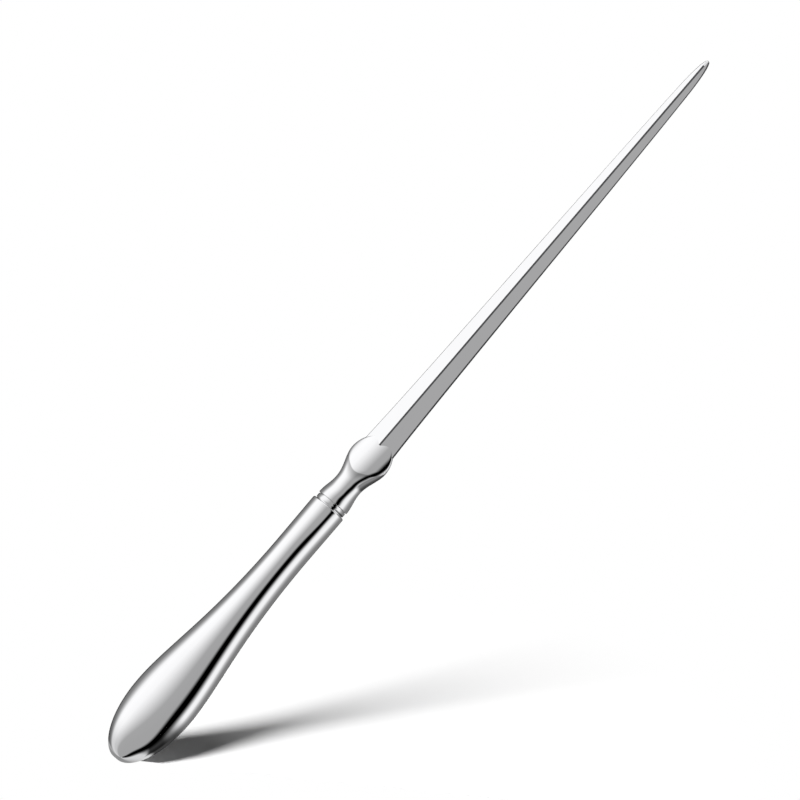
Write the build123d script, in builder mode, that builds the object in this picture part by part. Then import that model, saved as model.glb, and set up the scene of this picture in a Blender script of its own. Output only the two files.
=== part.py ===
"""Letter opener with a hollow handle: blade forging, collar ring, two half shells, braze seam and cement.

Sizes are in millimetres. The opener lies on its back: +X runs from the butt of the handle to the tip,
+Y across its width and +Z up, out of the front face. The origin is below the middle of its length.
"""

import os
from math import cos, radians, sin, sqrt

from build123d import *

# Hollow handle
HANDLE_LENGTH = 82.5
HANDLE_WIDTH = 17.7
HANDLE_THICKNESS = 12.0
SWELL_FROM_BUTT = 18.5
SWELL_REACH = 11.9
BUTT_FULLNESS = 0.49
BUTT_FLAT = 1.2
NECK_DIAMETER = 9.4
NECK_FROM_MOUTH = 14.0
NECK_REACH = 27.0
MOUTH_WIDTH = 9.6
MOUTH_THICKNESS = 8.7
MOUTH_REACH = 4.5
MOUTH_LIP_RADIUS = 0.45
MOUTH_LIP_SHARE = 0.6
SHELL_WALL = 0.8
SEAM_WIDTH = 0.16
SEAM_RELIEF = 0.03
SECTIONS_PER_CURVE = 5

# Collar ring between the mouth of the handle and the bolster
COLLAR_LENGTH = 1.5
COLLAR_STEP = 0.55
COLLAR_GROOVE_WIDTH = 0.2
COLLAR_GROOVE_DEPTH = 0.3
COLLAR_CROWN_RISE = 0.08
COLLAR_FIT = 0.03

# Spigot and tang, hidden in the handle
SPIGOT_DEPTH = 6.0
SPIGOT_CEMENT_GAP = 0.35
TANG_LENGTH = 46.0
TANG_COVER = 1.1
TANG_THICKNESS = 3.0
TANG_END_WIDTH = 3.6
TANG_END_THICKNESS = 2.2
TANG_NOTCH_RADIUS = 0.7
TANG_NOTCH_PITCH = 9.0
TANG_NOTCH_PAIRS = 3

# Bolster: an oval body that spreads to two shoulders, with a ground facet on its front and back
BOLSTER_LENGTH = 18.6
BOLSTER_LIP = 0.2
REAR_REACH = 2.4
WAIST_WIDTH = 7.55
WAIST_THICKNESS = 6.4
WAIST_FROM_REAR = 6.0
FLARE_REACH = 3.0
SHOULDER_WIDTH = 11.5
SHOULDER_THICKNESS = 6.1
SHOULDER_FROM_REAR = 14.3
SHOULDER_RADIUS = 6.8
SHOULDER_TURN = 60.0
SHOULDER_SECTIONS = 4
FACET_ANGLE = 11.4
FACET_CROWN_RADIUS = 11.0

# Blade: diamond section with a narrow land along the ridge
BLADE_LENGTH = 127.4
BLADE_WIDTH = 9.05
BLADE_THICKNESS = 2.7
EDGE_THICKNESS = 0.8
RIDGE_LAND = 0.5
TAPER_REACH = 18.0
TAPER_WIDTH = 7.1
POINT_LENGTH = 9.8
POINT_WIDTH = 3.36
POINT_REACH = 33.0
POINT_REACH_WIDTH = 5.5
POINT_NOSE_REACH = 4.8
POINT_NOSE_WIDTH = 2.0
TIP_THICKNESS = 1.0

# Places along the length, from the butt to the tip
overall_length = HANDLE_LENGTH + COLLAR_LENGTH + BOLSTER_LENGTH + BLADE_LENGTH
butt_x = -overall_length / 2
swell_x = butt_x + SWELL_FROM_BUTT
mouth_x = butt_x + HANDLE_LENGTH
neck_x = mouth_x - NECK_FROM_MOUTH
bolster_x = mouth_x + COLLAR_LENGTH
waist_x = bolster_x + WAIST_FROM_REAR
shoulder_x = bolster_x + SHOULDER_FROM_REAR
blade_x = bolster_x + BOLSTER_LENGTH
tip_x = blade_x + BLADE_LENGTH
axis_z = HANDLE_THICKNESS / 2

long_axis = Axis((0, 0, axis_z), (1, 0, 0))
mid_plane = Plane.XY.offset(axis_z)

# Fits that follow the mouth and the neck of the handle
mouth_bore_radius = min(MOUTH_WIDTH, MOUTH_THICKNESS) / 2 - SHELL_WALL
neck_bore_radius = NECK_DIAMETER / 2 - SHELL_WALL
spigot_radius = mouth_bore_radius - SPIGOT_CEMENT_GAP
collar_radius = MOUTH_WIDTH / 2 - COLLAR_STEP
bolster_rear_radius = collar_radius + BOLSTER_LIP
tang_width = 2 * (min(mouth_bore_radius, neck_bore_radius) - TANG_COVER)
lip_radius = min(MOUTH_LIP_RADIUS, MOUTH_LIP_SHARE * SHELL_WALL)


def cross_plane(x):
    """Plane square to the long axis at x, with its own X along the width and its own Y up."""
    return Plane(origin=(x, 0, axis_z), x_dir=(0, 1, 0), z_dir=(1, 0, 0))


def handle_size_points(inset):
    """Control points (place, half width, half thickness) of the three curves from the butt to the mouth."""
    half_width = HANDLE_WIDTH / 2 - inset
    half_thickness = HANDLE_THICKNESS / 2 - inset
    neck_radius = NECK_DIAMETER / 2 - inset
    mouth = (MOUTH_WIDTH / 2 - inset, MOUTH_THICKNESS / 2 - inset)
    start_x = butt_x + inset
    crown_width = BUTT_FULLNESS * half_width
    crown_thickness = BUTT_FULLNESS * half_thickness
    flat_width = BUTT_FLAT / 2
    flat_thickness = flat_width * half_thickness / half_width
    # The reach past the swell keeps the curvature the same on both sides of it
    fall_reach = SWELL_REACH * sqrt((half_width - neck_radius) / (half_width - crown_width))
    butt = [
        (start_x, flat_width, flat_thickness),
        (start_x, crown_width, crown_thickness),
        (swell_x - SWELL_REACH, half_width, half_thickness),
        (swell_x, half_width, half_thickness),
    ]
    fall = [
        (swell_x, half_width, half_thickness),
        (swell_x + fall_reach, half_width, half_thickness),
        (neck_x - NECK_REACH, neck_radius, neck_radius),
        (neck_x, neck_radius, neck_radius),
    ]
    flare = [
        (neck_x, neck_radius, neck_radius),
        (neck_x + MOUTH_REACH, neck_radius, neck_radius),
        (mouth_x - MOUTH_REACH, *mouth),
        (mouth_x, *mouth),
    ]
    return butt, fall, flare


def curve_stations(curves):
    """Evenly shared stations along curves that follow each other, without the end of the last one."""
    shares = [step / SECTIONS_PER_CURVE for step in range(SECTIONS_PER_CURVE)]
    return [curve @ share for curve in curves for share in shares]


def handle_stations(inset):
    """Places along the handle with the half width and half thickness there, from the butt to the mouth."""
    curves = [Bezier(*points) for points in handle_size_points(inset)]
    return curve_stations(curves) + [curves[-1] @ 1]


def bolster_stations():
    """Places along the bolster with the half width and half thickness there, from its rear face forwards."""
    rear = (bolster_rear_radius, bolster_rear_radius)
    waist = (WAIST_WIDTH / 2, WAIST_THICKNESS / 2)
    shoulder = (SHOULDER_WIDTH / 2, SHOULDER_THICKNESS / 2)
    to_waist = Bezier(
        (bolster_x, *rear),
        (bolster_x + REAR_REACH, *rear),
        (waist_x - REAR_REACH, *waist),
        (waist_x, *waist),
    )
    to_shoulder = Bezier(
        (waist_x, *waist),
        (waist_x + FLARE_REACH, *waist),
        (shoulder_x - FLARE_REACH, *shoulder),
        (shoulder_x, *shoulder),
    )
    stations = curve_stations([to_waist, to_shoulder])
    # Past the shoulders the width falls along an arc that ends inside the blade
    for step in range(SHOULDER_SECTIONS + 1):
        turn = radians(SHOULDER_TURN * step / SHOULDER_SECTIONS)
        fall = SHOULDER_RADIUS * (1 - cos(turn))
        stations.append(Vector(shoulder_x + SHOULDER_RADIUS * sin(turn), shoulder[0] - fall, shoulder[1]))
    return stations


def half_oval(size, side):
    """Half of an oval that stands on the rim of the front (1) or back (-1) shell."""
    return EllipticalCenterArc(
        (0, side * SEAM_WIDTH / 2),
        size.Y,
        size.Z - SEAM_WIDTH / 2,
        start_angle=0 if side > 0 else 180,
        arc_size=180,
    )


def half_sections(side):
    """Outer sections of one shell, filled down to its rim."""
    sections = []
    for size in handle_stations(0):
        with BuildSketch(cross_plane(size.X)) as section:
            with BuildLine():
                arc = half_oval(size, side)
                Line(arc @ 1, arc @ 0)
            make_face()
        sections.append(section.sketch)
    return sections


def cavity_sections():
    """Sections of the hollow that the two shells and the seam between them close in."""
    sections = []
    for size in handle_stations(SHELL_WALL):
        with BuildSketch(cross_plane(size.X)) as section:
            with BuildLine():
                front = half_oval(size, 1)
                back = half_oval(size, -1)
                Line(front @ 1, back @ 0)
                Line(back @ 1, front @ 0)
            make_face()
        sections.append(section.sketch)
    return sections


# Hollow inside the handle
hollow_sections = cavity_sections()
with BuildPart() as handle_cavity:
    loft(sections=hollow_sections)

# Front and back half shells, each with a rounded lip at the mouth
front_sections = half_sections(1)
with BuildPart() as handle_front_shell:
    loft(sections=front_sections)
    mouth_face = handle_front_shell.faces().sort_by(Axis.X)[-1]
    fillet(mouth_face.edges().filter_by(GeomType.LINE, reverse=True), radius=lip_radius)
    add(handle_cavity.part, mode=Mode.SUBTRACT)

back_sections = half_sections(-1)
with BuildPart() as handle_back_shell:
    loft(sections=back_sections)
    mouth_face = handle_back_shell.faces().sort_by(Axis.X)[-1]
    fillet(mouth_face.edges().filter_by(GeomType.LINE, reverse=True), radius=lip_radius)
    add(handle_cavity.part, mode=Mode.SUBTRACT)

# Braze seam between the rims of the two shells
with BuildPart() as braze_seam:
    with BuildSketch(mid_plane):
        for inset, mode in ((0, Mode.ADD), (SHELL_WALL - SEAM_RELIEF, Mode.SUBTRACT)):
            with BuildLine():
                plan = []
                for points in handle_size_points(inset):
                    plan.append(Bezier(*[(x, half_width) for x, half_width, half_thickness in points]))
                Polyline(plan[0] @ 0, (butt_x + inset, 0), (mouth_x, 0), plan[-1] @ 1)
            half_plan = make_face(mode=mode)
            mirror(half_plan, about=Plane.XZ, mode=mode)
    extrude(amount=SEAM_WIDTH / 2, both=True)

# Collar ring: a low crowned band between two fine grooves
with BuildPart() as collar_ring:
    with BuildSketch(mid_plane):
        with BuildLine():
            bore_radius = spigot_radius + COLLAR_FIT
            crown_start_x = mouth_x + COLLAR_GROOVE_WIDTH
            crown_end_x = bolster_x - COLLAR_GROOVE_WIDTH
            crown_edge_radius = collar_radius - COLLAR_CROWN_RISE
            groove_radius = collar_radius - COLLAR_GROOVE_DEPTH
            Polyline(
                (crown_start_x, crown_edge_radius),
                (crown_start_x, groove_radius),
                (mouth_x, groove_radius),
                (mouth_x, bore_radius),
                (bolster_x, bore_radius),
                (bolster_x, groove_radius),
                (crown_end_x, groove_radius),
                (crown_end_x, crown_edge_radius),
            )
            ThreePointArc(
                (crown_start_x, crown_edge_radius),
                ((crown_start_x + crown_end_x) / 2, collar_radius),
                (crown_end_x, crown_edge_radius),
            )
        make_face()
    revolve(axis=long_axis)

# Oval body of the bolster, ground to a low crown on its front and back
with BuildPart() as bolster_form:
    for size in bolster_stations():
        with BuildSketch(cross_plane(size.X)):
            with BuildLine():
                EllipticalCenterArc((0, 0), size.Y, size.Z, start_angle=-90, arc_size=180)
                EllipticalCenterArc((0, 0), size.Y, size.Z, start_angle=90, arc_size=180)
            make_face()
    loft()
    for side in (1, -1):
        facet_direction = (cos(radians(FACET_ANGLE)), 0, -side * sin(radians(FACET_ANGLE)))
        facet_start = Plane(
            origin=(blade_x, 0, axis_z + side * BLADE_THICKNESS / 2),
            x_dir=(0, 1, 0),
            z_dir=facet_direction,
        )
        with BuildSketch(facet_start):
            with Locations((0, -side * FACET_CROWN_RADIUS)):
                Circle(FACET_CROWN_RADIUS)
        extrude(amount=overall_length, both=True, mode=Mode.INTERSECT)

# Diamond blade: its outline, cut down to two roofs with a narrow land along each ridge
with BuildPart() as blade_form:
    half_root = BLADE_WIDTH / 2
    half_point = POINT_WIDTH / 2
    point_x = tip_x - POINT_LENGTH
    root_x = shoulder_x
    with BuildSketch(mid_plane):
        with BuildLine():
            root = Line((root_x, 0), (root_x, half_root))
            flat = Line(root @ 1, (blade_x, half_root))
            taper = Bezier(
                flat @ 1,
                (blade_x + TAPER_REACH, TAPER_WIDTH / 2),
                (point_x - POINT_REACH, POINT_REACH_WIDTH / 2),
                (point_x, half_point),
            )
            fall_slope = (POINT_REACH_WIDTH - POINT_WIDTH) / 2 / POINT_REACH
            Bezier(
                taper @ 1,
                (point_x + POINT_NOSE_REACH, half_point - fall_slope * POINT_NOSE_REACH),
                (tip_x, POINT_NOSE_WIDTH / 2),
                (tip_x, 0),
            )
            Line((tip_x, 0), root @ 0)
        make_face()
        mirror(about=Plane.XZ)
    extrude(amount=BLADE_THICKNESS, both=True)
    half_land = RIDGE_LAND / 2
    bevel_slope = (BLADE_THICKNESS - EDGE_THICKNESS) / 2 / (half_root - half_land)
    thickness_slope = (BLADE_THICKNESS - TIP_THICKNESS) / 2 / BLADE_LENGTH
    for side in (1, -1):
        for end_x in (root_x, tip_x):
            ridge = BLADE_THICKNESS / 2 - thickness_slope * (end_x - blade_x)
            eaves = ridge - bevel_slope * (BLADE_WIDTH - half_land)
            with BuildSketch(cross_plane(end_x)):
                Polygon(
                    (-half_land, side * ridge),
                    (half_land, side * ridge),
                    (BLADE_WIDTH, side * eaves),
                    (BLADE_WIDTH, -side * 2 * BLADE_THICKNESS),
                    (-BLADE_WIDTH, -side * 2 * BLADE_THICKNESS),
                    (-BLADE_WIDTH, side * eaves),
                    align=None,
                )
        loft(ruled=True, mode=Mode.INTERSECT)

# Notched tang, tapering from the spigot into the handle
with BuildPart() as tang_form:
    tang_start_x = mouth_x - SPIGOT_DEPTH
    tang_end_x = mouth_x - TANG_LENGTH
    with BuildSketch(cross_plane(tang_start_x)):
        Rectangle(tang_width, TANG_THICKNESS)
    with BuildSketch(cross_plane(tang_end_x)):
        Rectangle(TANG_END_WIDTH, TANG_END_THICKNESS)
    loft(ruled=True)
    for notch in range(TANG_NOTCH_PAIRS):
        notch_x = tang_end_x + (notch + 1) * TANG_NOTCH_PITCH
        share = (notch_x - tang_end_x) / (tang_start_x - tang_end_x)
        notch_y = (TANG_END_WIDTH + share * (tang_width - TANG_END_WIDTH)) / 2
        with BuildSketch(mid_plane):
            with Locations((notch_x, notch_y), (notch_x, -notch_y)):
                Circle(TANG_NOTCH_RADIUS)
        extrude(amount=TANG_THICKNESS, both=True, mode=Mode.SUBTRACT)

# Blade forging: blade, bolster, spigot and tang in one piece
with BuildPart() as blade:
    add(bolster_form.part)
    add(blade_form.part)
    with BuildSketch(cross_plane(mouth_x - SPIGOT_DEPTH)):
        Circle(spigot_radius)
    extrude(amount=SPIGOT_DEPTH + COLLAR_LENGTH)
    add(tang_form.part)

# Cement that fills the handle round the spigot and the tang
with BuildPart() as cement_core:
    add(handle_cavity.part)
    add(blade.part, mode=Mode.SUBTRACT)

os.makedirs("parts", exist_ok=True)
pieces = {
    "blade": blade,
    "collar_ring": collar_ring,
    "handle_front_shell": handle_front_shell,
    "handle_back_shell": handle_back_shell,
    "braze_seam": braze_seam,
    "cement_core": cement_core,
}
for name, piece in pieces.items():
    piece.part.label = name
    export_step(piece.part, f"parts/{name}.step")
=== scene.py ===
"""Looks of a polished steel letter opener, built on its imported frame.

Sizes are in metres. The opener lies on its back: +X runs from the butt of the handle to the tip, +Y across
its width and +Z up, out of the front face. Each new piece is a closed skin worked out on a grid.
"""

import logging
import math
from collections.abc import Callable
from dataclasses import dataclass
from enum import Enum

import bmesh
import bpy
import numpy as np
from mathutils import Matrix, Vector


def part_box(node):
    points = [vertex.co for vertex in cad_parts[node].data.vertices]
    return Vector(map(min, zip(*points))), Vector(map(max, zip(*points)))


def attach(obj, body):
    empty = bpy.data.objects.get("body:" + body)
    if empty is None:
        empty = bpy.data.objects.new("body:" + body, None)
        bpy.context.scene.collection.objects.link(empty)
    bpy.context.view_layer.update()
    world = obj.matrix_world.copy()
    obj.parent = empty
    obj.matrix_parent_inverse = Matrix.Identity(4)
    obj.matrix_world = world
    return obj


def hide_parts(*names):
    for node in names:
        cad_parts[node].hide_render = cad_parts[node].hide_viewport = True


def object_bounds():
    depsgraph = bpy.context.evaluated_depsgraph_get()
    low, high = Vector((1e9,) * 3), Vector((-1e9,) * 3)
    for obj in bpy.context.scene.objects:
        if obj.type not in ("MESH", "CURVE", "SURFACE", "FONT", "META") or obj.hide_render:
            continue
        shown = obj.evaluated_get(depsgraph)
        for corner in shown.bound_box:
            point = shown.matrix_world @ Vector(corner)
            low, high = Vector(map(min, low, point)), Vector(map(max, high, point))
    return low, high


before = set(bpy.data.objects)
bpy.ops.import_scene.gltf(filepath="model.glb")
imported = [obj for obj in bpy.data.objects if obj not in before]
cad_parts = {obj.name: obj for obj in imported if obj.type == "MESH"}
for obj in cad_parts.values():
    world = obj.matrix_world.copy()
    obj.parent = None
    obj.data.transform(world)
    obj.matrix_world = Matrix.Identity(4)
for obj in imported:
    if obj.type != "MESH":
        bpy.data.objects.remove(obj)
cad_low, cad_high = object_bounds()

LOG = logging.getLogger("letter_opener")
MM = 0.001
BODY = "root"
SHADE = "painted_facet_shade"
CURVE_SAMPLES = 4001
MERGE_DISTANCE = 1e-8
SHARP_ANGLE = math.radians(11.0)
FULL_TURN = 360.0

Array = np.ndarray
Colour = tuple[float, float, float]


class Ends(Enum):
    """How the first and the last section of a skin are closed."""

    POLES = "both draw in to a point"
    POLE_AND_WALL = "the first draws in, the last shows the thickness of the wall"
    WALLS = "both show the thickness of the wall"
    ROUND = "the last section meets the first"


def bezier(points: list[tuple[float, ...]], shares: Array) -> Array:
    """Cubic Bezier curve: four points weighted by (1-t)^3, 3t(1-t)^2, 3t^2(1-t) and t^3.

    Args:
        points: The four control points, with any number of coordinates.
        shares: Values of t from 0 to 1.

    Returns:
        One row of coordinates for each share.
    """
    t = shares[:, None]
    weights = np.concatenate([(1 - t) ** 3, 3 * t * (1 - t) ** 2, 3 * t**2 * (1 - t), t**3], axis=1)
    return weights @ np.array(points)


def soft_min(first: Array, second: Array, blend: Array) -> Array:
    """Smaller of two lengths, with the crease between them rounded by a parabola.

    Args:
        first: One length.
        second: The other length.
        blend: How far apart the two may be and still be blended.

    Returns:
        The blended lengths.
    """
    share = np.clip(0.5 + 0.5 * (second - first) / blend, 0, 1)
    return second + share * (first - second) - blend * share * (1 - share)


def smooth_step(share: Array) -> Array:
    """Share from 0 to 1 with level ends: 3s^2 - 2s^3.

    Args:
        share: Values, cut off below 0 and above 1.

    Returns:
        The smooth shares.
    """
    cut = np.clip(share, 0, 1)
    return cut**2 * (3 - 2 * cut)


def skin(name: str, sections: Array, ends: Ends, tones: Array | None = None,
         shades: Array | None = None) -> bpy.types.Object:
    """Closed mesh through a row of closed sections, with quads between each section and the next.

    Args:
        name: Name of the new object.
        sections: Points, as sections by points round a section by three coordinates.
        ends: How the first and last sections are closed.
        tones: Material slot of each quad, as rows of quads by quads round the section.
        shades: Depth of painted shade at each point, from 0 to 1, as sections by points.

    Returns:
        The object, smooth but for edges sharper than SHARP_ANGLE, with its faces outwards.
    """
    rows, columns = sections.shape[:2]
    index = np.arange(rows * columns).reshape(rows, columns)
    if ends is Ends.ROUND:
        index = np.concatenate([index, index[:1]])
    ring = np.concatenate([index, index[:, :1]], axis=1)
    quads = np.stack([ring[:-1, :-1], ring[:-1, 1:], ring[1:, 1:], ring[1:, :-1]], axis=-1).reshape(-1, 4)
    slots = np.zeros(len(quads), np.int32) if tones is None else tones.reshape(-1).astype(np.int32)
    walls = {Ends.POLE_AND_WALL: [-1], Ends.WALLS: [0, -1]}.get(ends, [])
    for row in walls:
        out = index[row, : columns // 2]
        back = index[row, columns // 2 :][::-1]
        wall = np.stack([out[:-1], out[1:], back[1:], back[:-1]], axis=-1)
        quads = np.concatenate([quads, wall])
        slots = np.concatenate([slots, np.zeros(len(wall), np.int32)])
    mesh = bpy.data.meshes.new(name)
    mesh.vertices.add(rows * columns)
    mesh.vertices.foreach_set("co", sections.reshape(-1).astype(np.float32))
    mesh.loops.add(quads.size)
    mesh.loops.foreach_set("vertex_index", quads.reshape(-1).astype(np.int32))
    mesh.polygons.add(len(quads))
    mesh.polygons.foreach_set("loop_start", np.arange(0, quads.size, 4, dtype=np.int32))
    mesh.polygons.foreach_set("material_index", slots)
    mesh.polygons.foreach_set("use_smooth", np.ones(len(quads), bool))
    # Points darkened by painted shade, kept as an attribute for the material
    if shades is not None:
        painted_shade_layer = mesh.attributes.new(SHADE, "FLOAT", "POINT")
        painted_shade_layer.data.foreach_set("value", shades.reshape(-1).astype(np.float32))
    mesh.update(calc_edges=True)
    joined = bmesh.new()
    joined.from_mesh(mesh)
    bmesh.ops.remove_doubles(joined, verts=joined.verts, dist=MERGE_DISTANCE)
    bmesh.ops.dissolve_degenerate(joined, edges=joined.edges, dist=MERGE_DISTANCE)
    bmesh.ops.recalc_face_normals(joined, faces=joined.faces)
    joined.to_mesh(mesh)
    joined.free()
    mesh.set_sharp_from_angle(angle=SHARP_ANGLE)
    piece = bpy.data.objects.new(name, mesh)
    bpy.context.scene.collection.objects.link(piece)
    return piece


class Shader:
    """Node tree of a material or of the world, with short ways to add and join nodes."""

    def __init__(self, tree: bpy.types.NodeTree) -> None:
        """Empty the tree and keep it.

        Args:
            tree: Node tree to fill.
        """
        tree.nodes.clear()
        self.tree = tree

    def node(self, kind: str, links: dict[str | int, bpy.types.NodeSocket] | None = None,
             values: dict[str | int, object] | None = None, **settings: object) -> bpy.types.Node:
        """Add one node.

        Args:
            kind: Blender's name of the node type.
            links: Output sockets to join to this node's inputs, by input name or number.
            values: Plain values of this node's inputs, by input name or number.
            **settings: Properties of the node itself.

        Returns:
            The new node.
        """
        made = self.tree.nodes.new(kind)
        for key, value in settings.items():
            setattr(made, key, value)
        for key, value in (values or {}).items():
            made.inputs[key].default_value = value
        for key, socket in (links or {}).items():
            self.tree.links.new(socket, made.inputs[key])
        return made

    def math(self, operation: str, *terms: object) -> bpy.types.NodeSocket:
        """Add a Math node.

        Args:
            operation: Blender's name of the operation.
            *terms: Sockets or plain numbers, in the order of the node's inputs.

        Returns:
            The node's output socket.
        """
        made = self.tree.nodes.new("ShaderNodeMath")
        made.operation = operation
        for slot, term in enumerate(terms):
            if isinstance(term, bpy.types.NodeSocket):
                self.tree.links.new(term, made.inputs[slot])
            else:
                made.inputs[slot].default_value = term
        return made.outputs[0]


@dataclass(frozen=True)
class SteelFinish:
    """Polished steel: a mirror with faint clouding and hair-fine polishing lines."""

    name: str
    colour: Colour
    clouded: Colour
    roughness: tuple[float, float]
    edge_tint: Colour = (1.0, 1.0, 1.0)
    cloud_scale: float = 90.0
    line_stretch: Colour = (60.0, 2600.0, 2600.0)
    line_depth: float = 0.0000006
    # Depth of the painted shade that the mesh's attribute asks for
    shade_depth: float = 0.0

    def material(self) -> bpy.types.Material:
        """Make the material.

        Returns:
            Metal whose colour and roughness follow soft clouds, with a bump of lines along the length.
            It is darker where the mesh holds painted shade.
        """
        made = bpy.data.materials.new(self.name)
        made.use_nodes = True
        shader = Shader(made.node_tree)
        place = shader.node("ShaderNodeTexCoord").outputs["Object"]
        cloud = shader.node("ShaderNodeTexNoise", {"Vector": place},
                            {"Scale": self.cloud_scale, "Detail": 3.0, "Roughness": 0.55})
        tone = shader.node("ShaderNodeMix", {"Factor": cloud.outputs["Fac"]},
                           {6: (*self.colour, 1.0), 7: (*self.clouded, 1.0)}, data_type="RGBA")
        # Painted shade: the colour is darkened towards black where the mesh's attribute is set
        painted_shade = shader.node("ShaderNodeAttribute", attribute_name=SHADE).outputs["Fac"]
        shown = shader.node("ShaderNodeMix", {"Factor": shader.math("MULTIPLY", painted_shade, self.shade_depth),
                                              6: tone.outputs[2]}, {7: (0, 0, 0, 1)}, data_type="RGBA")
        lines_place = shader.node("ShaderNodeMapping", {"Vector": place}, {"Scale": self.line_stretch})
        lines = shader.node("ShaderNodeTexNoise", {"Vector": lines_place.outputs[0]},
                            {"Scale": 1.0, "Detail": 2.0, "Roughness": 0.6})
        mixed = shader.math("MULTIPLY_ADD", lines.outputs["Fac"], 0.5, shader.math(
            "MULTIPLY", cloud.outputs["Fac"], 0.5))
        gloss = shader.node("ShaderNodeMapRange", {"Value": mixed},
                            {"To Min": self.roughness[0], "To Max": self.roughness[1]})
        bump = shader.node("ShaderNodeBump", {"Height": lines.outputs["Fac"]},
                           {"Strength": 1.0, "Distance": self.line_depth})
        steel = shader.node("ShaderNodeBsdfPrincipled",
                            {"Base Color": shown.outputs[2], "Roughness": gloss.outputs[0],
                             "Normal": bump.outputs[0]},
                            {"Metallic": 1.0, "Specular Tint": (*self.edge_tint, 1.0)})
        shader.node("ShaderNodeOutputMaterial", {"Surface": steel.outputs[0]})
        return made


@dataclass(frozen=True)
class CementFinish:
    """Cutler's cement: a dull cast resin with fine grains."""

    name: str
    colour: Colour
    grain_colour: Colour
    grain_scale: float = 1400.0

    def material(self) -> bpy.types.Material:
        """Make the material.

        Returns:
            Dull material with grains in its colour and its bump.
        """
        made = bpy.data.materials.new(self.name)
        made.use_nodes = True
        shader = Shader(made.node_tree)
        place = shader.node("ShaderNodeTexCoord").outputs["Object"]
        grain = shader.node("ShaderNodeTexNoise", {"Vector": place},
                            {"Scale": self.grain_scale, "Detail": 5.0})
        tone = shader.node("ShaderNodeMix", {"Factor": grain.outputs["Fac"]},
                           {6: (*self.colour, 1.0), 7: (*self.grain_colour, 1.0)}, data_type="RGBA")
        bump = shader.node("ShaderNodeBump", {"Height": grain.outputs["Fac"]},
                           {"Strength": 0.6, "Distance": 0.0001})
        resin = shader.node("ShaderNodeBsdfPrincipled",
                            {"Base Color": tone.outputs[2], "Normal": bump.outputs[0]}, {"Roughness": 0.85})
        shader.node("ShaderNodeOutputMaterial", {"Surface": resin.outputs[0]})
        return made


SHELL_STEEL = SteelFinish("polished_shell_steel", (0.83, 0.83, 0.84), (0.80, 0.80, 0.81), (0.025, 0.055))
RING_STEEL = SteelFinish("polished_ring_steel", (0.82, 0.82, 0.83), (0.78, 0.78, 0.79), (0.035, 0.075))
# Blade steel carries the painted shade strip behind the facet
BLADE_STEEL = SteelFinish("polished_blade_steel", (0.83, 0.83, 0.84), (0.80, 0.80, 0.81), (0.03, 0.065),
                          shade_depth=0.5)
# Ridge land and edges: real satin roughness, with a painted dark colour that stands in for dark reflections
PAINTED_DARK_STEEL = SteelFinish("painted_dark_edge_steel", (0.10, 0.10, 0.103), (0.075, 0.075, 0.078), (0.22, 0.34))
TANG_STEEL = SteelFinish("forged_tang_steel", (0.46, 0.45, 0.44), (0.36, 0.35, 0.34), (0.45, 0.65))
BRAZE = SteelFinish("polished_braze", (0.75, 0.74, 0.70), (0.70, 0.69, 0.65), (0.05, 0.10))
CEMENT = CementFinish("cutlers_cement", (0.32, 0.22, 0.16), (0.22, 0.15, 0.11))


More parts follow.
